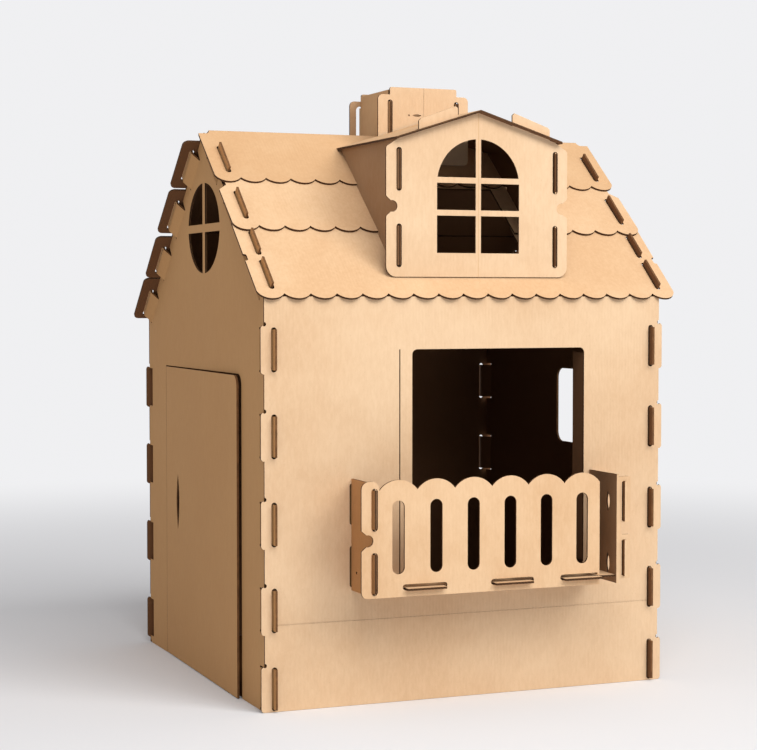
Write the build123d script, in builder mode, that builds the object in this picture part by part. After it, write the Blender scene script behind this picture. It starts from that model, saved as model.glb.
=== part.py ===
from build123d import *
from math import atan, cos, radians, sin, tan
import os

os.makedirs("parts", exist_ok=True)

# Cardboard playhouse, in millimetres.
# Origin on the floor under the middle of the house, front towards -Y, +Z up.

# Board and walls
board = 5.0                 # thickness of the corrugated board
body_w = 975.0              # outside faces of the two gable walls
body_d = 930.0              # outside faces of the front and rear walls
front_wall_h = 902.0
rear_wall_h = 849.0
roof_pitch = 41.0           # front slope, degrees
ridge_forward = 22.0        # ridge in front of the middle of the house
seat_gap = 0.2              # between pieces that rest on each other

# Tab and slot joints
slot_len = 97.0
slot_wide = 13.0
tab_len = 88.0
tab_out = 14.0              # how far a tab stands out of its slot
tab_root = 28.0             # how far behind the edge a tab starts to bend
wall_slot_inset = 22.0      # slot line to the outside of the gable wall
lug_out = 8.0               # lugs beside the slots, beyond the wall's edge
lug_len = 106.0
lug_relief_r = 4.5          # small round notch above each lug
corner_r = 16.0
crease_wide = 2.4
crease_deep = 0.7
front_slot_heights = [50.0, 221.0, 408.0, 599.0, 787.0]
rear_slot_heights = [66.0, 267.0, 468.0, 668.0]

# Door in the left gable, cut on two sides and folded at the rear
door_hinge_y = 304.0
door_w = 610.0
door_h = 729.0
door_kerf = 3.0
door_open = 1.0             # degrees, left a little ajar
door_corner_r = 24.0
door_floor_gap = 1.0
grip_y = 196.0
grip_z = 394.0
grip_len = 138.0
grip_wide = 25.0

# Windows of the gables
gable_pane_y = -24.0
gable_pane_z = 1063.0
gable_pane_w = 250.0
gable_pane_h = 213.0
gable_bar = 19.0
side_pane_y = -76.0
side_pane_z = 624.0
side_pane_w = 228.0
side_pane_h = 188.0
side_pane_r = 26.0

# Doorway from the house to the balcony, in the front wall
front_pane_left = -141.0
front_pane_right = 290.0
front_pane_top = 785.0
front_pane_bottom = 281.0
front_pane_r = 12.0
front_flap = 50.0           # strip folded inwards along its right edge
shutter_cut_x = -171.0
shutter_cut_wide = 2.6
wall_crease_z = 189.0

# Main roof: places are measured down the gable's slope from the ridge
front_roof_shift = 14.0     # the front boards sit a little to the right
rear_roof_shift = -12.0     # and the rear boards a little to the left
roof_w = 1032.0
front_slot_inset = 37.0     # roof's slot lines to its ends
rear_slot_inset = 28.0
lower_start = 340.0
front_lower_end = 598.0
rear_lower_end = 668.0
middle_start = 164.0
middle_end = 372.0
cap_end = 198.0
scallops = 17
scallop_deep = 16.0
cap_slot = (112.0, 104.0)   # middle of a slot and its length, down the slope
middle_slot = (281.0, 104.0)
front_lower_slots = [(412.0, 82.0), (519.0, 97.0)]
rear_lower_slots = [(439.0, 97.0), (600.0, 97.0)]
shoulder_end = 224.0        # where the middle tier widens below the cap
shoulder_deep = 20.0
shoulder_slant = 18.0
side_notch = (451.0, 473.0) # small notch in the lower tier's front ends
side_notch_deep = 7.0
side_notch_r = 5.0
rear_lug_out = 40.0         # lugs along the left end of the rear boards
rear_lug_r = 14.0
rear_cap_lug = (31.0, 190.0)
rear_middle_lug = (193.0, 347.0)
rear_lower_lugs = [(356.0, 504.0), (509.0, 660.0)]
ridge_relief_len = 28.0
ridge_relief_w = 20.0

# Dormer
dormer_x = 38.0
dormer_front_y = -427.0     # outside of its front panel
dormer_side = 195.0         # middle of the panel to the slot lines
dormer_lug = 31.0           # slot line to the outer edge of the lugs
dormer_eave_z = 1255.5
dormer_pitch = 17.6
dormer_slot_heights = [1016.0, 1186.0]
dormer_corner = 24.0
dormer_shoulder = 20.0
dormer_notch_z = 1103.5
dormer_tab_out = 5.0
dormer_overhang = 14.0
dormer_eave_out = 9.0
dormer_roof_tabs_x = [-99.0, 133.0]
dormer_roof_tab_len = 100.0
dormer_roof_tab_h = 24.0
dormer_back = 4.0           # back end of its roof, in front of the ridge
arch_w = 205.0
arch_bottom = 1000.0
arch_spring = 1155.0
arch_bar = 13.0
arch_bars_z = [1090.5, 1164.0]
loft_w = 300.0              # opening through the roof under the dormer
loft_top = 200.0
loft_bottom = 470.0
notch_deep = 27.0           # round notch between two lugs
notch_r = 13.0
notch_wide = 46.0
lug_corner_r = 8.0

# Chimney, standing astride the ridge
chimney_x = 37.0
chimney_d = 190.0           # outside faces of the front and rear panels
chimney_side = 87.0         # middle of the panels to the slot lines
chimney_lug = 31.0
chimney_top = 1403.5
chimney_shoulder = 18.0     # these are measured down from the top
chimney_side_drop = 6.0
chimney_slot_drop = 78.5
chimney_corner = 12.0
chimney_gap = 7.0           # front panel to the notch in the dormer's roof
chimney_tab_out = 4.0
chimney_rear_slot_out = 8.0
chimney_slit_x = -17.0
chimney_slit_drop = 66.0
chimney_slit_len = 24.0
chimney_slit_wide = 6.0
chimney_hole_gap = 9.0
chimney_hole_r = 2.2

# Balcony in front of the doorway
balcony_d = 130.0
balcony_bottom = 256.0
balcony_cusp_z = 487.0
balcony_scallop_h = 22.0
balcony_side_top = 502.0
balcony_left = -284.0       # left side panel and slot line
balcony_right = 304.5       # left face of the right side panel
balcony_lug = 30.0
balcony_lug_top = 507.0
balcony_lug_r = 17.0
balcony_scallop_left = -273.0
balcony_panel_right = 261.0
balcony_scallops = 6
balcony_slot_heights = [308.0, 446.0]
balcony_slot_len = 92.0
balcony_slot_wide = 15.0
balcony_tab_len = 84.0
balcony_tab_out = 6.0
balcony_corner = 14.0
balcony_notch_z = 380.0
pale_wide = 29.0
pale_len = 159.0
pale_z = 385.0
balcony_floor_z = 270.0
floor_tabs_x = [-166.0, 44.0, 215.0]
floor_tab_len = 92.0
floor_tab_out = 14.0
bent_end_back = 40.0        # how far the front panel's right end bends back
bent_end_top = 478.0
bent_end_rise = 3.0         # bent end above the floor panel
side_slits_z = [297.0, 438.0]
side_slit_len = 48.0
side_slit_wide = 17.0
side_slit_y = 89.0          # in front of the wall
side_hole_y = 31.0          # in front of the wall
side_hole_z = 298.0
side_hole_r = 3.2
flange_w = 35.0
flange_top = 497.0
flange_bottom = 266.0
flange_slot_in = 18.5
flange_slots = [(313.0, 82.0), (441.0, 91.0)]
flange_notch_z = 379.5
flange_notch_h = 28.0
flange_notch_deep = 24.0
flange_flap_out = 9.0

# Worked out from the sizes above
FRONT, REAR = 1, -1
half_w = body_w / 2
half_d = body_d / 2
edge_y = half_d - board
ridge_y = -ridge_forward
front_slope = radians(roof_pitch)
apex_z = front_wall_h + (half_d - ridge_forward) * tan(front_slope)
rear_slope = atan((apex_z - rear_wall_h) / (half_d + ridge_forward))
slopes = {FRONT: front_slope, REAR: rear_slope}
roof_shifts = {FRONT: front_roof_shift, REAR: rear_roof_shift}
roof_slot_xs = {FRONT: roof_w / 2 - front_slot_inset, REAR: roof_w / 2 - rear_slot_inset}
lower_slots = {FRONT: front_lower_slots, REAR: rear_lower_slots}
gable_mid = half_w - board / 2
wall_slot_x = half_w - wall_slot_inset
middle_tilt = atan((board + seat_gap) / (lower_start - middle_start))
cap_tilt = atan((board + seat_gap) / middle_start)
lug_round = 0.95 * lug_out
dormer_slope = radians(dormer_pitch)
dormer_apex_z = dormer_eave_z + dormer_side * tan(dormer_slope)
dormer_edge = dormer_side + dormer_lug
chimney_half_d = chimney_d / 2
balcony_front_y = half_d + balcony_d


def slope_point(side, down, out):
    """Depth y and height z of a point down and out from the gable's front or rear slope."""
    slope = slopes[side]
    away = down * cos(slope) + out * sin(slope)
    return ridge_y - side * away, apex_z - down * sin(slope) + out * cos(slope)


def tier_plane(side, start, tilt):
    """Underside of a roof tier on the front or rear slope."""
    y, z = slope_point(side, start, 0)
    lean = slopes[side] - tilt
    return Plane(
        origin=(roof_shifts[side], y, z),
        x_dir=(side, 0, 0),
        z_dir=(0, -side * sin(lean), cos(lean)),
    )


def tier_top(side, y, start, tilt):
    """Height of a tier's top face at depth y."""
    start_y, start_z = slope_point(side, start, 0)
    lean = slopes[side] - tilt
    return start_z + board / cos(lean) - side * (start_y - y) * tan(lean)


def tier_out(down, start, tilt):
    """How far a tier's underside stands off the gable's slope."""
    return (down - start) * tan(tilt)


def tier_lip(end, start, tilt):
    """Depth y just in front of the lower edge of a front tier."""
    start_y, _ = slope_point(FRONT, start, 0)
    lean = front_slope - tilt
    return start_y - (end - start) * cos(lean) - board * sin(lean) - seat_gap


def joint_plane(x, y, z, outward):
    """Plane across a gable's edge: local x runs outward, local y runs along +X."""
    along = Vector(*outward).cross(Vector(1, 0, 0))
    return Plane(origin=(x, y, z), x_dir=outward, z_dir=along)


def cut_lens(x, y, length, width, upright=True):
    """Pointed slit of two shallow arcs, cut out of the sketch."""
    dx, dy = (0, length / 2) if upright else (length / 2, 0)
    bx, by = (width / 2, 0) if upright else (0, width / 2)
    with BuildLine() as outline:
        first = ThreePointArc((x - dx, y - dy), (x + bx, y + by), (x + dx, y + dy))
        ThreePointArc(first @ 1, (x - bx, y - by), first @ 0)
    make_face(outline.edges(), mode=Mode.SUBTRACT)


def cut_notch(edge, y, side):
    """Round notch between two lugs, opening wider towards the edge."""
    centre = edge - side * (notch_deep - notch_r)
    with Locations((centre, y)):
        Circle(notch_r, mode=Mode.SUBTRACT)
    Polygon(
        (centre, y - notch_r * 0.8),
        (edge + side, y - notch_wide / 2),
        (edge + side, y + notch_wide / 2),
        (centre, y + notch_r * 0.8),
        align=None,
        mode=Mode.SUBTRACT,
    )


def cut_slots(places, length, width):
    """Upright slots with round ends."""
    with Locations(*places):
        SlotOverall(length, width, rotation=90, mode=Mode.SUBTRACT)


def scalloped_board(left, right, top, cusp):
    """Board with a straight top edge, a row of arcs along the cusp line and rounded ends."""
    pitch = (right - left) / scallops
    corner = cusp + scallop_deep / 2
    with BuildLine() as outline:
        Polyline((left, corner), (left, top), (right, top), (right, corner))
        for i in range(scallops):
            x = left + i * pitch
            low = (x + pitch / 2, cusp - scallop_deep)
            TangentArc(low, (x, corner if i == 0 else cusp), tangent=(-1, 0))
            TangentArc(low, (x + pitch, corner if i == scallops - 1 else cusp), tangent=(1, 0))
    make_face(outline.edges())


def wall_sketch(height, heights):
    """Front or rear wall: a board with lugs and slots along both upright edges."""
    with Locations((0, height / 2)):
        Rectangle(body_w, height)
    for z in heights:
        length = min(lug_len, 2 * z)
        with Locations((-half_w, z), (half_w, z)):
            RectangleRounded(2 * lug_out, length, lug_round)
        relief_z = z + length / 2 + lug_relief_r / 2
        with Locations((-half_w, relief_z), (half_w, relief_z)):
            Circle(lug_relief_r, mode=Mode.SUBTRACT)
        cut_slots([(-wall_slot_x, z), (wall_slot_x, z)], min(slot_len, 2 * z - board), slot_wide)


def gable_sketch():
    """Pentagon between the front and rear walls, up to the ridge."""
    front_eave = apex_z - (edge_y - ridge_forward) * tan(front_slope)
    rear_eave = apex_z - (edge_y + ridge_forward) * tan(rear_slope)
    corners = [(-edge_y, 0), (edge_y, 0), (edge_y, rear_eave), (ridge_y, apex_z), (-edge_y, front_eave)]
    Polygon(*corners, align=None)


def oval_pane(y, z):
    """Oval window with a cross of two bars."""
    with Locations((y, z)):
        Ellipse(gable_pane_w / 2, gable_pane_h / 2)
        Rectangle(gable_bar, gable_pane_h + board, mode=Mode.SUBTRACT)
        Rectangle(gable_pane_w + board, gable_bar, mode=Mode.SUBTRACT)


def edge_joint(x, y, z, outward, jog, reach, length):
    """A tab cut out of the gable's edge, bent sideways by jog and out through a slot."""
    plane = joint_plane(x, y, z, outward)
    length = min(length, 2 * z)
    with BuildSketch(plane) as recess:
        with Locations((-tab_root / 2 + board / 2, 0)):
            Rectangle(tab_root + board, 2 * board)
    extrude(recess.sketch, amount=length / 2, both=True, mode=Mode.SUBTRACT)
    side = -board / 2
    with BuildSketch(plane) as strip:
        with BuildLine():
            flat, bent = side, jog + side
            bend = Polyline((-tab_root - board, flat), (-tab_root, flat), (-board, bent), (reach, bent))
            offset(bend, amount=board, side=Side.LEFT, kind=Kind.INTERSECTION)
        make_face()
    extrude(strip.sketch, amount=(length + tab_len - slot_len) / 2, both=True)


def gable_joints(end):
    """Every tab of the left (end -1) or right (end 1) gable: front edge, rear edge and both slopes."""
    x = end * gable_mid
    wall_jog = end * wall_slot_x - x
    for z in front_slot_heights:
        edge_joint(x, -edge_y, z, (0, -1, 0), wall_jog, board + tab_out, slot_len)
    for z in rear_slot_heights:
        edge_joint(x, edge_y, z, (0, 1, 0), wall_jog, board + tab_out, slot_len)
    for side in (FRONT, REAR):
        roof_jog = roof_shifts[side] + end * roof_slot_xs[side] - x
        outward = (0, -side * sin(slopes[side]), cos(slopes[side]))
        places = [(*cap_slot, 0, cap_tilt), (*middle_slot, middle_start, middle_tilt)]
        places += [(*slot, lower_start, 0) for slot in lower_slots[side]]
        for down, length, start, tilt in places:
            y, z = slope_point(side, down, 0)
            edge_joint(x, y, z, outward, roof_jog, tier_out(down, start, tilt) + board + tab_out, length)


def tier_sketch(side, start, end, slots, lugs):
    """One tier of the roof, drawn down from its upper edge to its scallops."""
    half = roof_w / 2
    cusp = start - end + scallop_deep
    if side == FRONT:
        scalloped_board(-half, half, 0, cusp)
    else:
        scalloped_board(-half, half - rear_lug_out, 0, cusp)
        for first, last in lugs:
            with Locations((half - rear_lug_out, start - (first + last) / 2)):
                RectangleRounded(2 * rear_lug_out, last - first, rear_lug_r)
    slot_x = roof_slot_xs[side]
    for down, length in slots:
        cut_slots([(-slot_x, start - down), (slot_x, start - down)], length, slot_wide)


def cut_shoulders(start):
    """Narrows the middle tier's two ends below the cap, down to slanted corners."""
    half = roof_w / 2
    for end in (-1, 1):
        Polygon(
            (end * (half - shoulder_deep), board),
            (end * (half + board), board),
            (end * (half + board), start - shoulder_end),
            (end * half, start - shoulder_end),
            (end * (half - shoulder_deep), start - shoulder_end + shoulder_slant),
            align=None,
            mode=Mode.SUBTRACT,
        )


def cut_side_notches(start):
    """Small notch between the two lugs at each end of the front lower tier."""
    first, last = side_notch
    middle = start - (first + last) / 2
    with Locations((-roof_w / 2, middle), (roof_w / 2, middle)):
        RectangleRounded(2 * side_notch_deep, last - first, side_notch_r, mode=Mode.SUBTRACT)


def cut_loft(start):
    """Opening under the dormer, from the named places down the slope."""
    with Locations((dormer_x - front_roof_shift, start - (loft_top + loft_bottom) / 2)):
        Rectangle(loft_w, loft_bottom - loft_top, mode=Mode.SUBTRACT)


def cap_half(side):
    """Front or rear half of the ridge cap, cut along the plane of the fold."""
    turn = (rear_slope - front_slope) / 2
    fold = Plane(
        origin=(0, ridge_y, apex_z),
        x_dir=(1, 0, 0),
        z_dir=(0, -side * cos(turn), side * sin(turn)),
    )
    with BuildPart() as half:
        with BuildSketch(tier_plane(side, 0, cap_tilt)):
            tier_sketch(side, 0, cap_end, [cap_slot], [rear_cap_lug])
            # a little more board above, for the fold to cut
            far_x = roof_w / 2 if side == FRONT else roof_w / 2 - rear_lug_out
            with Locations(((far_x - roof_w / 2) / 2, board / 2)):
                Rectangle(far_x + roof_w / 2, board)
        extrude(amount=board)
        split(bisect_by=fold, keep=Keep.TOP)
    return half


def upright_crease(x, low, high):
    """Shallow fold line, drawn on a panel's outer face."""
    with Locations((x, (low + high) / 2)):
        Rectangle(crease_wide, high - low)


# Walls
pane_mid = ((front_pane_left + front_pane_right) / 2, (front_pane_top + front_pane_bottom) / 2)
pane_h = front_pane_top - front_pane_bottom

with BuildPart() as front_wall:
    with BuildSketch(Plane.XZ.offset(edge_y)):
        wall_sketch(front_wall_h, front_slot_heights)
        with Locations(pane_mid):
            RectangleRounded(front_pane_right - front_pane_left, pane_h, front_pane_r, mode=Mode.SUBTRACT)
        with Locations((shutter_cut_x, pane_mid[1])):
            Rectangle(shutter_cut_wide, pane_h, mode=Mode.SUBTRACT)
        for z in balcony_slot_heights:
            cut_slots([(balcony_left, z), (balcony_right + board / 2, z)], balcony_slot_len, slot_wide)
    extrude(amount=board)
    with BuildSketch(Plane.XZ.offset(half_d)):
        with Locations((0, wall_crease_z)):
            Rectangle(2 * wall_slot_x - slot_wide, crease_wide)
    extrude(amount=-crease_deep, mode=Mode.SUBTRACT)
    # strip folded inwards along the doorway's right edge
    with BuildSketch(Plane.XY.offset(front_pane_bottom + front_pane_r)):
        with Locations((front_pane_right + board / 2, -edge_y + (front_flap - board) / 2)):
            Rectangle(board, front_flap + board)
    extrude(amount=pane_h - 2 * front_pane_r)

with BuildPart() as rear_wall:
    with BuildSketch(Plane.XZ.offset(-half_d)):
        wall_sketch(rear_wall_h, rear_slot_heights)
    extrude(amount=board)

swing = radians(door_open)
door_plane = Plane(
    origin=(-half_w, door_hinge_y, 0),
    x_dir=(-sin(swing), -cos(swing), 0),
    z_dir=(-cos(swing), sin(swing), 0),
)

with BuildPart() as left_gable_wall:
    with BuildSketch(Plane.YZ.offset(-half_w)):
        gable_sketch()
    extrude(amount=board)
    fillet(left_gable_wall.edges().filter_by(Axis.X).group_by(Axis.Z)[0].sort_by(Axis.Y)[-1], corner_r)
    with BuildSketch(Plane.YZ.offset(-half_w)):
        oval_pane(gable_pane_y, gable_pane_z)
    extrude(amount=board, mode=Mode.SUBTRACT)
    with BuildSketch(Plane.YZ.offset(-half_w)) as doorway:
        with Locations((door_hinge_y - door_w / 2, door_h / 2)):
            Rectangle(door_w, door_h)
        fillet(doorway.vertices().group_by(Axis.X)[0].group_by(Axis.Y)[-1], door_corner_r)
    extrude(amount=board, mode=Mode.SUBTRACT)
    # the door is part of the wall, folded along its rear edge
    with BuildSketch(door_plane) as door_face:
        leaf_w, leaf_h = door_w - door_kerf, door_h - door_kerf
        with Locations(((leaf_w - crease_wide) / 2, (leaf_h + door_floor_gap) / 2)):
            Rectangle(leaf_w + crease_wide, leaf_h - door_floor_gap)
        fillet(door_face.vertices().group_by(Axis.X)[-1].group_by(Axis.Y)[-1], door_corner_r)
        cut_lens(door_hinge_y - grip_y, grip_z, grip_len, grip_wide)
    extrude(amount=-board)
    with BuildSketch(door_plane):
        upright_crease(0, 0, door_h)
    extrude(amount=-crease_deep, mode=Mode.SUBTRACT)
    gable_joints(-1)

with BuildPart() as right_gable_wall:
    with BuildSketch(Plane.YZ.offset(half_w - board)):
        gable_sketch()
    extrude(amount=board)
    with BuildSketch(Plane.YZ.offset(half_w - board)):
        oval_pane(gable_pane_y, gable_pane_z)
        with Locations((side_pane_y, side_pane_z)):
            RectangleRounded(side_pane_w, side_pane_h, side_pane_r)
    extrude(amount=board, mode=Mode.SUBTRACT)
    gable_joints(1)

# Main roof: three tiers a side, each lying on the upper edge of the one below
with BuildPart() as front_roof_lower_tier:
    with BuildSketch(tier_plane(FRONT, lower_start, 0)):
        tier_sketch(FRONT, lower_start, front_lower_end, front_lower_slots, [])
        cut_side_notches(lower_start)
        cut_loft(lower_start)
    extrude(amount=board)

with BuildPart() as rear_roof_lower_tier:
    with BuildSketch(tier_plane(REAR, lower_start, 0)):
        tier_sketch(REAR, lower_start, rear_lower_end, rear_lower_slots, rear_lower_lugs)
    extrude(amount=board)

with BuildPart() as front_roof_middle_tier:
    with BuildSketch(tier_plane(FRONT, middle_start, middle_tilt)):
        tier_sketch(FRONT, middle_start, middle_end, [middle_slot], [])
        cut_shoulders(middle_start)
        cut_loft(middle_start)
    extrude(amount=board)

with BuildPart() as rear_roof_middle_tier:
    with BuildSketch(tier_plane(REAR, middle_start, middle_tilt)):
        tier_sketch(REAR, middle_start, middle_end, [middle_slot], [rear_middle_lug])
    extrude(amount=board)

front_cap = cap_half(FRONT)
rear_cap = cap_half(REAR)

with BuildPart() as roof_ridge_cap:
    add(front_cap.part)
    add(rear_cap.part)
    # relief slots where the fold reaches the two ends
    with BuildSketch(Plane.XY.offset(apex_z - ridge_relief_w)):
        with Locations((front_roof_shift - roof_w / 2, ridge_y), (front_roof_shift + roof_w / 2, ridge_y)):
            SlotOverall(2 * ridge_relief_len, ridge_relief_w)
    extrude(amount=2 * ridge_relief_w, mode=Mode.SUBTRACT)

# Dormer
dormer_inner_y = -dormer_front_y - board
dormer_foot = tier_top(FRONT, -dormer_inner_y, 0, 0) + seat_gap
dormer_shoulder_z = dormer_eave_z - seat_gap

with BuildPart() as dormer_front:
    with BuildSketch(Plane.XZ.offset(dormer_inner_y)) as dormer_face:
        Polygon(
            (dormer_x - dormer_edge, dormer_foot),
            (dormer_x + dormer_edge, dormer_foot),
            (dormer_x + dormer_edge, dormer_shoulder_z - dormer_shoulder),
            (dormer_x + dormer_side, dormer_shoulder_z),
            (dormer_x, dormer_apex_z - seat_gap),
            (dormer_x - dormer_side, dormer_shoulder_z),
            (dormer_x - dormer_edge, dormer_shoulder_z - dormer_shoulder),
            align=None,
        )
        fillet(dormer_face.vertices().group_by(Axis.Y)[0], dormer_corner)
        for side in (-1, 1):
            cut_notch(dormer_x + side * dormer_edge, dormer_notch_z, side)
        lug_corners = [v for v in dormer_face.vertices() if abs(v.X - dormer_x) > dormer_edge - board / 2]
        fillet([v for v in lug_corners if v.Y > dormer_foot + dormer_corner + board], lug_corner_r)
        for z in dormer_slot_heights:
            cut_slots([(dormer_x - dormer_side, z), (dormer_x + dormer_side, z)], slot_len, slot_wide)
    extrude(amount=board)
    # tabs that stand up through the dormer's roof
    with BuildSketch(Plane.XZ.offset(dormer_inner_y)):
        for middle in dormer_roof_tabs_x:
            side = 1 if middle > 0 else -1
            half = dormer_roof_tab_len / 2 * cos(dormer_slope)
            near_x, far_x = abs(middle) - half, abs(middle) + half
            near_z = dormer_apex_z - near_x * tan(dormer_slope) - board
            far_z = dormer_apex_z - far_x * tan(dormer_slope) - board
            lift = 2 * board + dormer_roof_tab_h
            Polygon(
                (dormer_x + side * near_x, near_z),
                (dormer_x + side * far_x, far_z),
                (dormer_x + side * far_x, far_z + lift - board),
                (dormer_x + side * (far_x - board), far_z + lift),
                (dormer_x + side * (near_x + board), near_z + lift),
                (dormer_x + side * near_x, near_z + lift - board),
                align=None,
            )
    extrude(amount=board)
    with BuildSketch(Plane.XZ.offset(dormer_inner_y)):
        with Locations((dormer_x, (arch_bottom + arch_spring) / 2)):
            Rectangle(arch_w, arch_spring - arch_bottom)
        with Locations((dormer_x, arch_spring)):
            Circle(arch_w / 2)
            Rectangle(arch_bar, 2 * arch_w, mode=Mode.SUBTRACT)
        for z in arch_bars_z:
            with Locations((dormer_x, z)):
                Rectangle(arch_w + board, arch_bar, mode=Mode.SUBTRACT)
    extrude(amount=board, mode=Mode.SUBTRACT)

# the cheeks step over the scalloped ends of the tiers
cheek_top = dormer_eave_z - board / 2 * tan(dormer_slope) - seat_gap
middle_lip = tier_lip(middle_end, middle_start, middle_tilt)
cap_lip = tier_lip(cap_end, 0, cap_tilt)
ridge_top = tier_top(FRONT, ridge_y, 0, cap_tilt)
cheek_front = -dormer_inner_y + seat_gap
cheek_outline = [
    (cheek_front, cheek_top),
    (cheek_front, tier_top(FRONT, cheek_front, 0, 0) + seat_gap),
    (middle_lip, tier_top(FRONT, middle_lip, 0, 0) + seat_gap),
    (middle_lip, tier_top(FRONT, middle_lip, middle_start, middle_tilt) + seat_gap),
    (cap_lip, tier_top(FRONT, cap_lip, middle_start, middle_tilt) + seat_gap),
    (cap_lip, tier_top(FRONT, cap_lip, 0, cap_tilt) + seat_gap),
    (ridge_y - (ridge_top + seat_gap - cheek_top) / tan(front_slope - cap_tilt), cheek_top),
]
cheeks = {}
for label, side in (("dormer_left_cheek", -1), ("dormer_right_cheek", 1)):
    with BuildPart() as cheek:
        with BuildSketch(Plane.YZ.offset(dormer_x + side * dormer_side - board / 2)):
            Polygon(*cheek_outline, align=None)
            for z in dormer_slot_heights:
                with Locations((dormer_front_y - dormer_tab_out + (dormer_tab_out + 2 * board) / 2, z)):
                    Rectangle(dormer_tab_out + 2 * board, tab_len)
        extrude(amount=board)
    cheeks[label] = cheek

with BuildPart() as dormer_roof:
    half_span = dormer_side + board / 2 + dormer_eave_out
    eave_z = dormer_apex_z - half_span * tan(dormer_slope)
    rise = board / cos(dormer_slope)
    with BuildSketch(Plane.XZ.offset(ridge_forward + dormer_back)):
        Polygon(
            (dormer_x - half_span, eave_z),
            (dormer_x, dormer_apex_z),
            (dormer_x + half_span, eave_z),
            (dormer_x + half_span, eave_z + rise),
            (dormer_x, dormer_apex_z + rise),
            (dormer_x - half_span, eave_z + rise),
            align=None,
        )
    extrude(amount=dormer_overhang - dormer_front_y - ridge_forward - dormer_back)
    # cut back along the ridge cap
    with BuildSketch(Plane.YZ.offset(dormer_x - 2 * dormer_edge)):
        Polygon(
            (ridge_y, ridge_top + seat_gap),
            (cap_lip, tier_top(FRONT, cap_lip, 0, cap_tilt) + seat_gap),
            (cap_lip, dormer_foot),
            (ridge_y, dormer_foot),
            align=None,
        )
    extrude(amount=4 * dormer_edge, mode=Mode.SUBTRACT)
    # notch round the chimney
    notch_front = chimney_half_d + chimney_gap
    with BuildSketch(Plane.XY.offset(dormer_eave_z - dormer_lug)):
        with Locations((chimney_x, ridge_y - notch_front / 2)):
            Rectangle(2 * (chimney_side + chimney_lug + seat_gap), notch_front)
    extrude(amount=chimney_top - dormer_eave_z, mode=Mode.SUBTRACT)
    # slots for the front panel's tabs
    for middle in dormer_roof_tabs_x:
        side = 1 if middle > 0 else -1
        slot_z = dormer_apex_z - abs(middle) * tan(dormer_slope)
        slot_plane = Plane(
            origin=(dormer_x + middle, dormer_front_y + board / 2, slot_z),
            x_dir=(cos(dormer_slope), 0, -side * sin(dormer_slope)),
            z_dir=(side * sin(dormer_slope), 0, cos(dormer_slope)),
        )
        with BuildSketch(slot_plane):
            SlotOverall(dormer_roof_tab_len + slot_wide, slot_wide)
        extrude(amount=2 * board, both=True, mode=Mode.SUBTRACT)

# Chimney
chimney_inner = chimney_half_d - board
chimney_edge = chimney_side + chimney_lug
chimney_step = chimney_side + seat_gap
chimney_slot_z = chimney_top - chimney_slot_drop
chimney_slit_z = chimney_top - chimney_slit_drop


def chimney_face(foot, slot_shift):
    """Front or rear panel of the chimney: a board with a lug and a slot at each side."""
    lug_top = chimney_top - chimney_shoulder
    with Locations((chimney_x, (foot + lug_top) / 2)):
        RectangleRounded(2 * chimney_edge, lug_top - foot, chimney_corner)
    with Locations((chimney_x, (foot + chimney_top) / 2)):
        RectangleRounded(2 * chimney_step, chimney_top - foot, lug_relief_r)
    shift = chimney_side + slot_shift / 2
    places = [(chimney_x - shift, chimney_slot_z), (chimney_x + shift, chimney_slot_z)]
    cut_slots(places, slot_len, slot_wide + slot_shift)


with BuildPart() as chimney_front:
    front_foot = tier_top(FRONT, ridge_y - chimney_inner, 0, cap_tilt) + seat_gap
    with BuildSketch(Plane.XZ.offset(ridge_forward + chimney_inner)):
        chimney_face(front_foot, 0)
        slit_x = chimney_x + chimney_slit_x
        cut_lens(slit_x, chimney_slit_z, chimney_slit_len, chimney_slit_wide, upright=False)
        with Locations((slit_x - chimney_slit_len / 2 - chimney_hole_gap, chimney_slit_z)):
            Circle(chimney_hole_r, mode=Mode.SUBTRACT)
    extrude(amount=board)
    with BuildSketch(Plane.XZ.offset(ridge_forward + chimney_half_d)):
        upright_crease(chimney_x, front_foot, chimney_top)
    extrude(amount=-crease_deep, mode=Mode.SUBTRACT)

with BuildPart() as chimney_rear:
    with BuildSketch(Plane.XZ.offset(ridge_forward - chimney_half_d)):
        chimney_face(tier_top(REAR, ridge_y + chimney_inner, 0, cap_tilt) + seat_gap, chimney_rear_slot_out)
    extrude(amount=board)

chimney_sides = {}
for label, side in (("chimney_left_side", -1), ("chimney_right_side", 1)):
    with BuildPart() as chimney_panel:
        with BuildSketch(Plane.YZ.offset(chimney_x + side * chimney_side - board / 2)):
            seat_front = ridge_y - chimney_inner + seat_gap
            seat_rear = ridge_y + chimney_inner - seat_gap
            side_top = chimney_top - chimney_side_drop
            Polygon(
                (seat_front, side_top),
                (seat_front, tier_top(FRONT, seat_front, 0, cap_tilt) + seat_gap),
                (ridge_y, max(ridge_top, tier_top(REAR, ridge_y, 0, cap_tilt)) + seat_gap),
                (seat_rear, tier_top(REAR, seat_rear, 0, cap_tilt) + seat_gap),
                (seat_rear, side_top),
                align=None,
            )
            tab_middle = chimney_half_d + chimney_tab_out / 2 - board
            with Locations((ridge_y - tab_middle, chimney_slot_z), (ridge_y + tab_middle, chimney_slot_z)):
                Rectangle(chimney_tab_out + 2 * board, tab_len)
        extrude(amount=board)
    chimney_sides[label] = chimney_panel

# Balcony
balcony_inner_y = balcony_front_y - board
rail_w = balcony_panel_right - balcony_scallop_left
rail_pitch = rail_w / balcony_scallops
side_mid_y = -(half_d + balcony_inner_y) / 2
side_depth = balcony_inner_y - half_d - 2 * seat_gap

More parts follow.
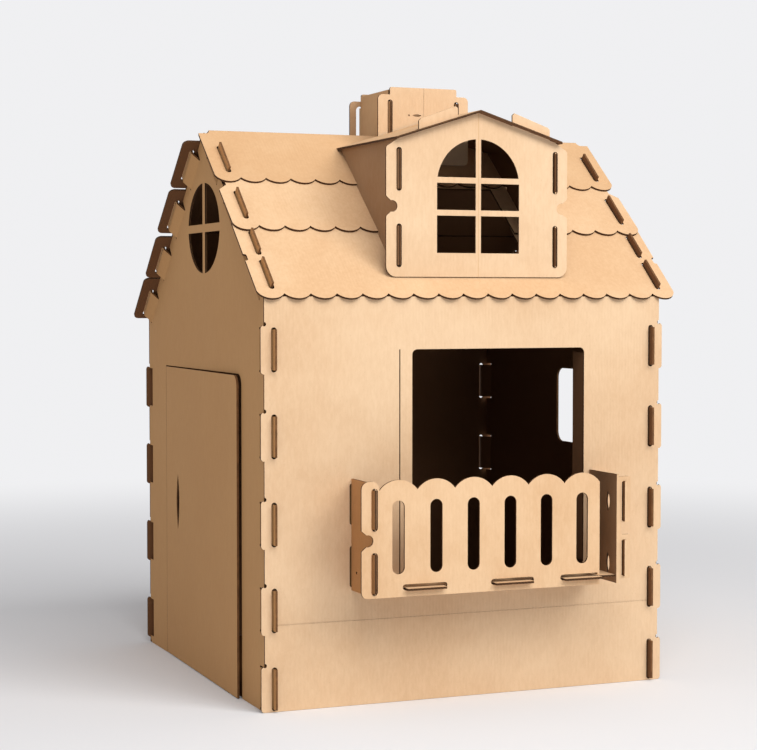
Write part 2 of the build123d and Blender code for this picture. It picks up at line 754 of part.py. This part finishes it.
with BuildPart() as balcony_front:
    with BuildSketch(Plane.XZ.offset(balcony_inner_y)) as rail:
        panel_left = balcony_left - balcony_lug
        with Locations(((panel_left + balcony_panel_right) / 2, (balcony_bottom + balcony_cusp_z) / 2)):
            Rectangle(balcony_panel_right - panel_left, balcony_cusp_z - balcony_bottom)
        fillet(rail.vertices().group_by(Axis.Y)[0].sort_by(Axis.X)[0], balcony_corner)
        for i in range(balcony_scallops):
            with BuildLine() as crest:
                left = balcony_scallop_left + i * rail_pitch
                top = (left + rail_pitch / 2, balcony_cusp_z + balcony_scallop_h)
                ThreePointArc((left, balcony_cusp_z), top, (left + rail_pitch, balcony_cusp_z))
                Line((left + rail_pitch, balcony_cusp_z), (left, balcony_cusp_z))
            make_face()
        lug_w, lug_h = balcony_scallop_left - panel_left, balcony_lug_top - balcony_notch_z
        with Locations((panel_left + lug_w / 2, balcony_notch_z + lug_h / 2)):
            RectangleRounded(lug_w, lug_h, balcony_lug_r)
        cut_notch(panel_left, balcony_notch_z, -1)
        cut_slots([(balcony_left, z) for z in balcony_slot_heights], balcony_slot_len, balcony_slot_wide)
        pales = [(balcony_scallop_left + (i + 0.5) * rail_pitch, pale_z) for i in range(balcony_scallops)]
        cut_slots(pales, pale_len, pale_wide)
        with Locations(*[(x, balcony_floor_z - seat_gap + slot_wide / 2) for x in floor_tabs_x]):
            SlotOverall(floor_tab_len + slot_wide, slot_wide, mode=Mode.SUBTRACT)
    extrude(amount=board)
    # the right end bends back, above the floor panel
    bent_end_bottom = balcony_floor_z + board + bent_end_rise
    with BuildSketch(Plane.XY.offset(bent_end_bottom)):
        with Locations((balcony_panel_right - board / 2, -balcony_front_y + (board + bent_end_back) / 2)):
            Rectangle(board, board + bent_end_back)
    extrude(amount=bent_end_top - bent_end_bottom)

with BuildPart() as balcony_left_side:
    with BuildSketch(Plane.YZ.offset(balcony_left - board / 2)):
        with Locations((side_mid_y, (balcony_bottom + balcony_side_top) / 2)):
            Rectangle(side_depth, balcony_side_top - balcony_bottom)
        tongue_front = balcony_front_y + balcony_tab_out
        tongue_back = edge_y - balcony_tab_out
        for z in balcony_slot_heights:
            with Locations((-(tongue_front + tongue_back) / 2, z)):
                Rectangle(tongue_front - tongue_back, balcony_tab_len)
        with Locations((-half_d - side_hole_y, side_hole_z)):
            Circle(side_hole_r, mode=Mode.SUBTRACT)
    extrude(amount=board)

with BuildPart() as balcony_right_side:
    with BuildSketch(Plane.YZ.offset(balcony_right)):
        flange_mid_y = -(half_d + balcony_front_y) / 2
        with Locations((flange_mid_y - seat_gap / 2, (balcony_bottom + balcony_side_top) / 2)):
            Rectangle(balcony_d - seat_gap, balcony_side_top - balcony_bottom)
        for z in balcony_slot_heights:
            with Locations((-(half_d + edge_y - balcony_tab_out) / 2, z)):
                Rectangle(board + balcony_tab_out + board, balcony_tab_len)
        for z in side_slits_z:
            cut_lens(-half_d - side_slit_y, z, side_slit_len, side_slit_wide)
    extrude(amount=board)
    # flange along the front edge, with two slots and the flaps that fill them
    flange_x = balcony_right + flange_slot_in
    with BuildSketch(Plane.XZ.offset(balcony_inner_y)) as flange:
        with Locations((balcony_right + flange_w / 2, (flange_bottom + flange_top) / 2)):
            Rectangle(flange_w, flange_top - flange_bottom)
        with Locations((balcony_right + flange_w, flange_notch_z)):
            RectangleRounded(2 * flange_notch_deep, flange_notch_h, lug_relief_r, mode=Mode.SUBTRACT)
        fillet([v for v in flange.vertices() if v.X > balcony_right + flange_w - board], lug_relief_r)
        for z, length in flange_slots:
            cut_slots([(flange_x, z)], length, slot_wide)
    extrude(amount=board)
    with BuildSketch(Plane.XZ.offset(balcony_inner_y)):
        for z, length in flange_slots:
            with Locations((flange_x, z)):
                Rectangle(board, length)
    extrude(amount=board + flange_flap_out)

with BuildPart() as balcony_floor:
    floor_left = balcony_left + board / 2 + seat_gap
    floor_right = balcony_right - seat_gap
    with BuildSketch(Plane.XY.offset(balcony_floor_z)):
        with Locations(((floor_left + floor_right) / 2, side_mid_y)):
            Rectangle(floor_right - floor_left, side_depth)
        for x in floor_tabs_x:
            with Locations((x, -balcony_front_y - (floor_tab_out - 2 * board) / 2)):
                Rectangle(floor_tab_len, floor_tab_out + 2 * board)
    extrude(amount=board)

pieces = {
    "front_wall": front_wall,
    "rear_wall": rear_wall,
    "left_gable_wall": left_gable_wall,
    "right_gable_wall": right_gable_wall,
    "front_roof_lower_tier": front_roof_lower_tier,
    "rear_roof_lower_tier": rear_roof_lower_tier,
    "front_roof_middle_tier": front_roof_middle_tier,
    "rear_roof_middle_tier": rear_roof_middle_tier,
    "roof_ridge_cap": roof_ridge_cap,
    "dormer_front": dormer_front,
    **cheeks,
    "dormer_roof": dormer_roof,
    "chimney_front": chimney_front,
    "chimney_rear": chimney_rear,
    **chimney_sides,
    "balcony_front": balcony_front,
    "balcony_left_side": balcony_left_side,
    "balcony_right_side": balcony_right_side,
    "balcony_floor": balcony_floor,
}
for label, piece in pieces.items():
    piece.part.label = label
    export_step(piece.part, f"parts/{label}.step")
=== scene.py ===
import math

import bpy
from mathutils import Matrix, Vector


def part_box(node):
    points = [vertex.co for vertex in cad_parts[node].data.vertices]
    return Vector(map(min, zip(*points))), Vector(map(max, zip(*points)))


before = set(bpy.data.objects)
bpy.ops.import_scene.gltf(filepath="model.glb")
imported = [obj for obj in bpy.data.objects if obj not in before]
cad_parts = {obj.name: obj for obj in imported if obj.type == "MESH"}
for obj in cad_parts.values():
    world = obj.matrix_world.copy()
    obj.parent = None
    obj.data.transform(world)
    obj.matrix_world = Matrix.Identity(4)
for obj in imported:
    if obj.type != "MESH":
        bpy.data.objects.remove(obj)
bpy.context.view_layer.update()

# Directions in the frame of the model; the front of the house looks along -Y
RIGHT = (1.0, 0.0, 0.0)
BACK = (0.0, 1.0, 0.0)
FRONT = (0.0, -1.0, 0.0)
UP = (0.0, 0.0, 1.0)

# Sizes in metres
BOARD = 0.005
FLUTE = 0.0078               # pitch of the corrugation
GABLE_X = 0.4875             # outside of the gable walls
WALL_INNER_Y = 0.460         # inside of the front wall, in front of the middle of the house
DOORWAY_STRIP_X = 0.290      # inner face of the strip folded in at the doorway
BALCONY_INNER_Y = 0.590      # inside of the railing, in front of the middle of the house
BALCONY_SIDE_X = 0.3045      # inside of the balcony's right end
RAIL_BEND_X = 0.256          # inner face of the railing's bent end
FAR = 10.0                   # past the whole house

# How far the zone of a leaf reaches past its inner face, and past its outer face
PAST_INNER = 0.0005
PAST_OUTER = 0.0002

# Folded roof boards: a point of the inner face on the ridge, and the leans in degrees
CAP_RIDGE = (0.0, -0.022, 1.2871)
CAP_LEANS = (39.18, 40.15)   # front and rear halves
DORMER_RIDGE = (0.038, 0.0, 1.31736)
DORMER_LEAN = 17.6

# Camera, found from the vanishing lines of the walls
IMAGE_W = 757
FOCAL_PX = 1902.0
SENSOR = 36.0
CAMERA_AT = (-1.805, -4.344, 0.901)
CAMERA_YAW = 22.2            # degrees to the right of +Y
CAMERA_PITCH = -2.35         # degrees, below the level

# Studio
FLOOR_RADIUS = 40.0
FLOOR_DROP = 0.0005          # keeps the floor clear of the walls' lower edges
FLOOR_FADE = (1.5, 5.0)      # the floor turns into the background between these radii
ROOM_LIGHT = 0.44
# Soft boxes: place, aim, width and watts
KEY_LAMP = ((5.0, -8.4, 7.6), (0.0, 0.0, 0.6), 7.0, 750.0)
OVERHEAD_LAMP = ((-0.6, -3.3, 4.4), (0.0, 0.0, 0.7), 2.6, 108.0)

# Colours, linear
KRAFT = (0.745, 0.492, 0.284)
KRAFT_PALE = (0.800, 0.565, 0.350)
KRAFT_DEEP = (0.640, 0.385, 0.200)
KRAFT_DARK = (0.540, 0.295, 0.122)
# painted highlight for the lit fronts
KRAFT_HIGHLIGHT = (0.780, 0.620, 0.440)
# painted shade for the balcony's left side
KRAFT_SHADE = (0.450, 0.200, 0.060)
FLECK = (0.420, 0.235, 0.110)
GRAIN_VEIL = (0.965, 0.955, 0.945)
WORN_VEIL = (0.970, 0.955, 0.940)
CLEAR = (1.000, 1.000, 1.000)
LINER_SHADE = (0.130, 0.052, 0.018)
CUT_PAPER = (0.270, 0.125, 0.046)
# char on the cut edges, and painted shade in the open flutes
CUT_CHAR_AND_HOLLOW_SHADE = (0.040, 0.016, 0.006)
FLOOR_COLOUR = (0.800, 0.800, 0.815)
ROOM_COLOUR = (0.980, 0.980, 1.000)
BACKGROUND = (0.870, 0.870, 0.885)
LAMP_COLOUR = (1.000, 0.990, 0.975)

# Finish of the board, and painted shade on its inner liner
ROUGHNESS = 0.82
SPECULAR = 0.22
SHADED = 0.45                # painted shade on an inner liner that daylight reaches
INDOORS = 0.95               # and on one that faces the dark room
SHELTERED = 0.80             # and on one in between

# Patterns on the board: how fine, octaves, roughness, stretch along X, Y and Z, own place
EVEN = (1.0, 1.0, 1.0)
CLOUDS = (2.6, 4.0, 0.60, EVEN, 0.0)
MOTTLE = (14.0, 4.0, 0.65, EVEN, 3.0)
FIBRES = (120.0, 5.0, 0.75, (1.0, 1.0, 0.35), 7.0)
FLECKS = (420.0, 2.0, 0.50, (1.0, 1.0, 0.5), 11.0)
SCORCH = (60.0, 2.0, 0.55, EVEN, 0.0)
WAVES = (4.5, 2.0, 0.50, EVEN, 19.0)

# How the patterns tint the liner: where a tint begins and ends in its pattern, then how strong
CLOUD_TINT = (0.36, 0.64)
MOTTLE_TINT = (0.35, 0.75, 0.0, 0.20)
FIBRE_TINT = (0.35, 0.70, 0.0, 0.22)
FLECK_TINT = (0.66, 0.78, 0.0, 0.35)
FLUTE_TINT = (-1.0, 1.0, 0.0, 0.05)
VEIL_TINT = (0.35, 0.65)
PLAIN_KRAFT = 0.60           # share of plain brown that calms the clouds

# Painted shade along a score in the liner: metres to either side of its line, then how strong
CREASE_SHADE = (0.0004, 0.0016, 0.45, 0.0)

# Relief: strength, and height in metres
WAVES_RELIEF = (1.0, 0.006)
FLUTE_RELIEF = (0.35, 0.00012)
FIBRE_RELIEF = (0.35, 0.0008)
HOLLOW_RELIEF = (0.8, 0.001)

# How squarely a face looks along its leaf's direction: a cut edge below the first cosine, and
# liner above the second
SQUARE = (0.45, 0.60)

# Section of the board at a cut edge, in thicknesses of the board
MIDDLE = 0.5                 # from the inner face
FLUTE_SWING = 0.36           # of the flute, to either side of the middle
FLUTE_PAPER = (0.10, 0.17)   # off the flute's line, where its paper ends
LINER_PAPER = (0.38, 0.43)   # off the middle, where the liners begin


def shader(tree, kind, inputs=(), **settings):
    """Adds a shader node, sets its options and fills its sockets with values or links."""
    made = tree.nodes.new("ShaderNode" + kind)
    for name, value in settings.items():
        setattr(made, name, value)
    for key, value in dict(inputs).items():
        socket = made.inputs[key]
        if isinstance(value, bpy.types.NodeSocket):
            tree.links.new(value, socket)
        elif socket.type == "RGBA":
            socket.default_value = (*value, 1.0)
        else:
            socket.default_value = value
    return made


def calc(tree, operation, *numbers):
    """One step of arithmetic."""
    return shader(tree, "Math", enumerate(numbers), operation=operation).outputs[0]


def dot(tree, vector, direction):
    """Length of a point's vector along a direction."""
    made = shader(tree, "VectorMath", {0: vector, 1: direction}, operation="DOT_PRODUCT")
    return made.outputs["Value"]


def ramp(tree, value, low, high, first=0.0, last=1.0):
    """Soft step from first to last as the value goes from low to high."""
    inputs = {"Value": value, "From Min": low, "From Max": high, "To Min": first, "To Max": last}
    made = shader(tree, "MapRange", inputs, interpolation_type="SMOOTHSTEP")
    return made.outputs["Result"]


def choose(tree, share, first, second):
    """The first number where share is 0 and the second where it is 1."""
    return shader(tree, "Mix", {0: share, 2: first, 3: second}, data_type="FLOAT").outputs[0]


def blend(tree, share, first, second):
    """Mix of two colours, share telling how much of it is the second."""
    return shader(tree, "Mix", {0: share, 6: first, 7: second}, data_type="RGBA").outputs[2]


def noise(tree, vector, pattern, seed):
    """A pattern in the board's own place; the seed moves it, so that no two boards look alike."""
    scale, detail, rough, stretch, own_place = pattern
    shift = seed + own_place
    placed = shader(tree, "Mapping", {"Vector": vector, "Location": (shift, shift, shift), "Scale": stretch})
    inputs = {"Vector": placed.outputs[0], "Scale": scale, "Detail": detail, "Roughness": rough}
    return shader(tree, "TexNoise", inputs).outputs["Fac"]


def bump(tree, height, size, below=None):
    """Relief of a given strength and height, laid over the relief below it."""
    inputs = {"Height": height, "Strength": size[0], "Distance": size[1]}
    if below is not None:
        inputs["Normal"] = below
    return shader(tree, "Bump", inputs).outputs[0]


def leaf(outward, point, along, zone=(UP, -FAR, FAR)):
    """One flat side of a sheet: its outward direction, inner face, flute direction and zone.

    point lies on the inner face, along runs across the flutes, and the zone is a direction with
    the least and the greatest length along it.
    """
    low = sum(a * b for a, b in zip(outward, point))
    return outward, low, along, zone


def board_material(name, leaves, seed, tone=KRAFT_DARK, share=0.0, inside=SHADED, crease=None):
    """Brown corrugated board, laser cut, with the flutes showing at the cuts.

    share of the liner's colour is the given colour, which paints shade on shaded sides and a
    highlight on lit fronts; inside tells how much painted shade lies on the inner liner, and
    crease is a direction and a place along it where the outer liner is scored, with painted shade
    along the score.
    """
    material = bpy.data.materials.new(name)
    material.use_nodes = True
    tree = material.node_tree
    tree.nodes.clear()
    coordinates = shader(tree, "TexCoord")
    place = coordinates.outputs["Object"]
    facing = coordinates.outputs["Normal"]
    liner, inner, across, flutes = 0.0, 0.0, 0.0, 0.0
    for outward, low, along, (direction, least, most) in leaves:
        reach = dot(tree, place, direction)
        here = calc(tree, "GREATER_THAN", reach, least)
        here = calc(tree, "MULTIPLY", here, calc(tree, "LESS_THAN", reach, most))
        turned = dot(tree, facing, outward)
        flat = ramp(tree, calc(tree, "ABSOLUTE", turned), *SQUARE)
        liner = calc(tree, "MAXIMUM", calc(tree, "MULTIPLY", flat, here), liner)
        behind = ramp(tree, turned, -SQUARE[1], -SQUARE[0], 1.0, 0.0)
        inner = calc(tree, "MAXIMUM", calc(tree, "MULTIPLY", behind, here), inner)
        depth = calc(tree, "DIVIDE", calc(tree, "SUBTRACT", dot(tree, place, outward), low), BOARD)
        across = choose(tree, here, across, depth)
        flutes = choose(tree, here, flutes, dot(tree, place, along))
    is_cut = calc(tree, "SUBTRACT", 1.0, liner)
    wave = calc(tree, "SINE", calc(tree, "MULTIPLY", flutes, 2 * math.pi / FLUTE))

    # cut edges: two liners and the flute between them, with painted shade in the open hollows
    flute_line = calc(tree, "MULTIPLY_ADD", wave, FLUTE_SWING, MIDDLE)
    off_flute = calc(tree, "ABSOLUTE", calc(tree, "SUBTRACT", across, flute_line))
    on_flute = ramp(tree, off_flute, *FLUTE_PAPER, 1.0, 0.0)
    off_middle = calc(tree, "ABSOLUTE", calc(tree, "SUBTRACT", across, MIDDLE))
    on_liner = ramp(tree, off_middle, *LINER_PAPER)
    paper = calc(tree, "MAXIMUM", on_flute, on_liner)
    cut_paper = blend(tree, noise(tree, place, SCORCH, seed), CUT_PAPER, CUT_CHAR_AND_HOLLOW_SHADE)
    cut = blend(tree, paper, CUT_CHAR_AND_HOLLOW_SHADE, cut_paper)

    # the liner: cloudy, fibrous, with the flutes faintly showing through
    clouds = noise(tree, place, CLOUDS, seed)
    mottle = noise(tree, place, MOTTLE, seed)
    fibres = noise(tree, place, FIBRES, seed)
    flecks = noise(tree, place, FLECKS, seed)
    face = blend(tree, ramp(tree, clouds, *CLOUD_TINT), KRAFT_DEEP, KRAFT_PALE)
    face = blend(tree, PLAIN_KRAFT, face, KRAFT)
    for pattern, tint, colour in ((mottle, MOTTLE_TINT, KRAFT_DEEP), (fibres, FIBRE_TINT, KRAFT_PALE),
                                  (flecks, FLECK_TINT, FLECK), (wave, FLUTE_TINT, KRAFT_DEEP)):
        face = blend(tree, ramp(tree, pattern, *tint), face, colour)
    # painted shade on shaded sides and painted highlight on lit fronts
    face = blend(tree, share, face, tone)
    for pattern, colour in ((fibres, GRAIN_VEIL), (clouds, WORN_VEIL)):
        veil = blend(tree, ramp(tree, pattern, *VEIL_TINT), colour, CLEAR)
        face = shader(tree, "VectorMath", {0: face, 1: veil}, operation="MULTIPLY").outputs[0]
    # painted shade along the score
    if crease is not None:
        direction, where = crease
        off_crease = calc(tree, "SUBTRACT", dot(tree, place, direction), where)
        off_crease = calc(tree, "ABSOLUTE", off_crease)
        face = blend(tree, ramp(tree, off_crease, *CREASE_SHADE), face, KRAFT_DARK)
    # painted shade on the inner liner, strongest where it faces the dark room
    face = blend(tree, calc(tree, "MULTIPLY", inner, inside), face, LINER_SHADE)
    colour = blend(tree, is_cut, face, cut)

    # relief: slow waves of a sheet that has been handled, washboard, fibres and the open flutes
    relief = bump(tree, noise(tree, place, WAVES, seed), WAVES_RELIEF)
    relief = bump(tree, wave, FLUTE_RELIEF, relief)
    relief = bump(tree, fibres, FIBRE_RELIEF, relief)
    relief = bump(tree, calc(tree, "MULTIPLY", paper, is_cut), HOLLOW_RELIEF, relief)
    inputs = {"Base Color": colour, "Roughness": ROUGHNESS, "Specular IOR Level": SPECULAR, "Normal": relief}
    surface = shader(tree, "BsdfPrincipled", inputs)
    shader(tree, "OutputMaterial", {"Surface": surface.outputs[0]})
    return material


def dress(node, leaves, seed, **looks):
    """Gives a board its own material, made for its leaves."""
    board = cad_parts[node]
    board.data.materials.clear()
    board.data.materials.append(board_material(node + "_board", leaves, seed, **looks))


def dress_flat(node, axis, side, seed, **looks):
    """Dresses a flat board that faces along an axis, side telling which way is outward."""
    low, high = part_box(node)
    outward = [0.0, 0.0, 0.0]
    outward[axis] = float(side)
    outer = high[axis] if side > 0 else -low[axis]
    point = [part * (outer - BOARD) for part in outward]
    along = BACK if axis == 0 else RIGHT
    dress(node, [leaf(tuple(outward), point, along)], seed, **looks)


def slope_leaf(side, degrees, point, zone=(UP, -FAR, FAR)):
    """Leaf of a roof board on the front slope (side -1) or the rear slope (side 1)."""
    lean = math.radians(degrees)
    return leaf((0.0, side * math.sin(lean), math.cos(lean)), point, RIGHT, zone)


def tier_lean(low, high):
    """Slope of a roof board in degrees, worked out from its box."""
    deep, tall = high[1] - low[1], high[2] - low[2]
    lean = math.atan2(tall, deep)
    # the box also holds the board's thickness, which comes off again until the lean settles
    for _ in range(5):
        lean = math.atan2(tall - BOARD * math.cos(lean), deep - BOARD * math.sin(lean))
    return math.degrees(lean)


def dress_tier(node, side, seed):
    """Dresses a tier on the front slope (side -1) or the rear slope (side 1)."""
    low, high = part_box(node)
    degrees = tier_lean(low, high)
    # the inner face's upper edge lies below the highest point by the board's thickness
    top_y = high[1] if side < 0 else low[1]
    point = (0.0, top_y, high[2] - BOARD * math.cos(math.radians(degrees)))
    dress(node, [slope_leaf(side, degrees, point)], seed, inside=INDOORS)


def make_floor():
    """Pale studio floor that fades into the background, with painted shadow under the house."""
    bpy.ops.object.select_all(action="DESELECT")
    bpy.ops.mesh.primitive_circle_add(vertices=96, radius=FLOOR_RADIUS, fill_type="NGON",
                                      location=(0, 0, -FLOOR_DROP))
    floor = bpy.context.object
    floor.name = "studio_floor"
    material = bpy.data.materials.new("studio_floor")
    material.use_nodes = True
    tree = material.node_tree
    tree.nodes.clear()
    place = shader(tree, "TexCoord").outputs["Object"]
    radius = shader(tree, "VectorMath", {0: place}, operation="LENGTH").outputs["Value"]
    inset = shader(tree, "VectorMath", {0: place}, operation="ABSOLUTE").outputs[0]
    between_gables = calc(tree, "LESS_THAN", dot(tree, inset, RIGHT), GABLE_X - BOARD)
    between_walls = calc(tree, "LESS_THAN", dot(tree, inset, BACK), WALL_INNER_Y)
    indoors = calc(tree, "MULTIPLY", between_gables, between_walls)
    # painted shadow on the floor under the house
    colour = blend(tree, indoors, FLOOR_COLOUR, LINER_SHADE)
    paint = shader(tree, "BsdfDiffuse", {"Color": colour}).outputs[0]
    glow = shader(tree, "Emission", {"Color": BACKGROUND, "Strength": 1.0}).outputs[0]
    mixed = shader(tree, "MixShader", {0: ramp(tree, radius, *FLOOR_FADE), 1: paint, 2: glow})
    shader(tree, "OutputMaterial", {"Surface": mixed.outputs[0]})
    floor.data.materials.append(material)


def make_world():
    """Even light from all round, with a pale background for the camera."""
    world = bpy.data.worlds.new("studio")
    bpy.context.scene.world = world
    world.use_nodes = True
    tree = world.node_tree
    tree.nodes.clear()
    path = shader(tree, "LightPath")
    seen = calc(tree, "MAXIMUM", path.outputs["Is Camera Ray"], path.outputs["Is Glossy Ray"])
    seen = calc(tree, "MAXIMUM", seen, path.outputs["Is Transmission Ray"])
    light = shader(tree, "Background", {"Color": ROOM_COLOUR, "Strength": ROOM_LIGHT}).outputs[0]
    shown = shader(tree, "Background", {"Color": BACKGROUND, "Strength": 1.0}).outputs[0]
    mixed = shader(tree, "MixShader", {0: seen, 1: light, 2: shown})
    shader(tree, "OutputWorld", {"Surface": mixed.outputs[0]})


def make_lamp(name, place, target, size, power):
    """Soft box that points at a place."""
    data = bpy.data.lights.new(name, "AREA")
    data.shape = "DISK"
    data.size = size
    data.energy = power
    data.color = LAMP_COLOUR
    lamp = bpy.data.objects.new(name, data)
    bpy.context.scene.collection.objects.link(lamp)
    lamp.location = place
    aim = [end - start for start, end in zip(place, target)]
    tilt = math.atan2(math.hypot(aim[0], aim[1]), -aim[2])
    turn = math.atan2(aim[1], aim[0]) - math.pi / 2
    lamp.rotation_euler = (tilt, 0.0, turn)


def make_camera():
    """Camera at the photograph's place."""
    data = bpy.data.cameras.new("camera")
    data.sensor_width = SENSOR
    data.lens = FOCAL_PX / IMAGE_W * SENSOR
    camera = bpy.data.objects.new("camera", data)
    bpy.context.scene.collection.objects.link(camera)
    camera.location = CAMERA_AT
    camera.rotation_euler = (math.radians(90 + CAMERA_PITCH), 0.0, math.radians(-CAMERA_YAW))
    bpy.context.scene.camera = camera


# Walls: the strip at the doorway is folded back from the front wall's own sheet
wall_end = PAST_INNER - WALL_INNER_Y
wall = leaf(FRONT, (0.0, -WALL_INNER_Y, 0.0), RIGHT, (BACK, -FAR, wall_end))
strip = leaf(RIGHT, (DOORWAY_STRIP_X, 0.0, 0.0), BACK, (BACK, wall_end, 0.0))
# painted highlight over a share of the front wall's liner
dress("front_wall", [wall, strip], 0.0, tone=KRAFT_HIGHLIGHT, share=0.25, inside=INDOORS)
dress_flat("rear_wall", 1, 1, 1.3, inside=INDOORS)
# painted shade over the whole left gable, which faces away from the key lamp; the right gable stays plain
for node, side, seed, share in (("left_gable_wall", -1, 2.1, 1.0), ("right_gable_wall", 1, 3.7, 0.0)):
    sheet = leaf((float(side), 0.0, 0.0), (side * (GABLE_X - BOARD), 0.0, 0.0), BACK)
    dress(node, [sheet], seed, share=share, inside=INDOORS)

# Dormer and chimney
# painted highlight on the dormer's front, and painted shade along the crease in its middle
dress_flat("dormer_front", 1, -1, 4.0, tone=KRAFT_HIGHLIGHT, share=0.3, inside=0.9,
           crease=(RIGHT, DORMER_RIDGE[0]))
# painted shade on the dormer's cheeks
for node, side, seed in (("dormer_left_cheek", -1, 9.0), ("dormer_right_cheek", 1, 10.0)):
    dress_flat(node, 0, side, seed, tone=LINER_SHADE, share=0.6, inside=INDOORS)
# painted highlight on the chimney's front
dress_flat("chimney_front", 1, -1, 5.0, tone=KRAFT_HIGHLIGHT, share=0.3)
dress_flat("chimney_rear", 1, 1, 6.0)
# painted shade on the chimney's sides
for node, side, seed in (("chimney_left_side", -1, 11.0), ("chimney_right_side", 1, 12.0)):
    dress_flat(node, 0, side, seed, share=0.6)

# Balcony: its right end has a flange along the front, and the railing's right end is bent back
# painted shade on the balcony's left side
dress_flat("balcony_left_side", 0, -1, 13.0, tone=KRAFT_SHADE, share=0.8)
front_zone = (FRONT, BALCONY_INNER_Y - PAST_INNER, FAR)
front_leaf = leaf(FRONT, (0.0, -BALCONY_INNER_Y, 0.0), RIGHT, front_zone)
side_zone = (RIGHT, 0.0, BALCONY_SIDE_X + BOARD + PAST_OUTER)
side_leaf = leaf(RIGHT, (BALCONY_SIDE_X, 0.0, 0.0), BACK, side_zone)
dress("balcony_right_side", [side_leaf, front_leaf], 14.0, inside=SHELTERED)
bent_leaf = leaf(RIGHT, (RAIL_BEND_X, 0.0, 0.0), BACK, (RIGHT, RAIL_BEND_X - PAST_INNER, FAR))
dress("balcony_front", [front_leaf, bent_leaf], 15.0)
dress_flat("balcony_floor", 2, 1, 16.0)

# Roof
dress_tier("front_roof_lower_tier", -1, 20.0)
dress_tier("front_roof_middle_tier", -1, 21.0)
dress_tier("rear_roof_lower_tier", 1, 22.0)
dress_tier("rear_roof_middle_tier", 1, 23.0)
cap_halves = [slope_leaf(-1, CAP_LEANS[0], CAP_RIDGE, (BACK, -FAR, CAP_RIDGE[1])),
              slope_leaf(1, CAP_LEANS[1], CAP_RIDGE, (BACK, CAP_RIDGE[1], FAR))]
dress("roof_ridge_cap", cap_halves, 25.0, share=0.35, inside=INDOORS)
lean = math.radians(DORMER_LEAN)
dormer_halves = []
for side, least, most in ((-1, -FAR, DORMER_RIDGE[0]), (1, DORMER_RIDGE[0], FAR)):
    outward = (side * math.sin(lean), 0.0, math.cos(lean))
    dormer_halves.append(leaf(outward, DORMER_RIDGE, BACK, (RIGHT, least, most)))
dress("dormer_roof", dormer_halves, 27.0, share=0.3, inside=INDOORS)

make_floor()
make_world()
make_lamp("key", *KEY_LAMP)
make_lamp("overhead", *OVERHEAD_LAMP)
make_camera()
bpy.context.scene.view_settings.view_transform = "Standard"
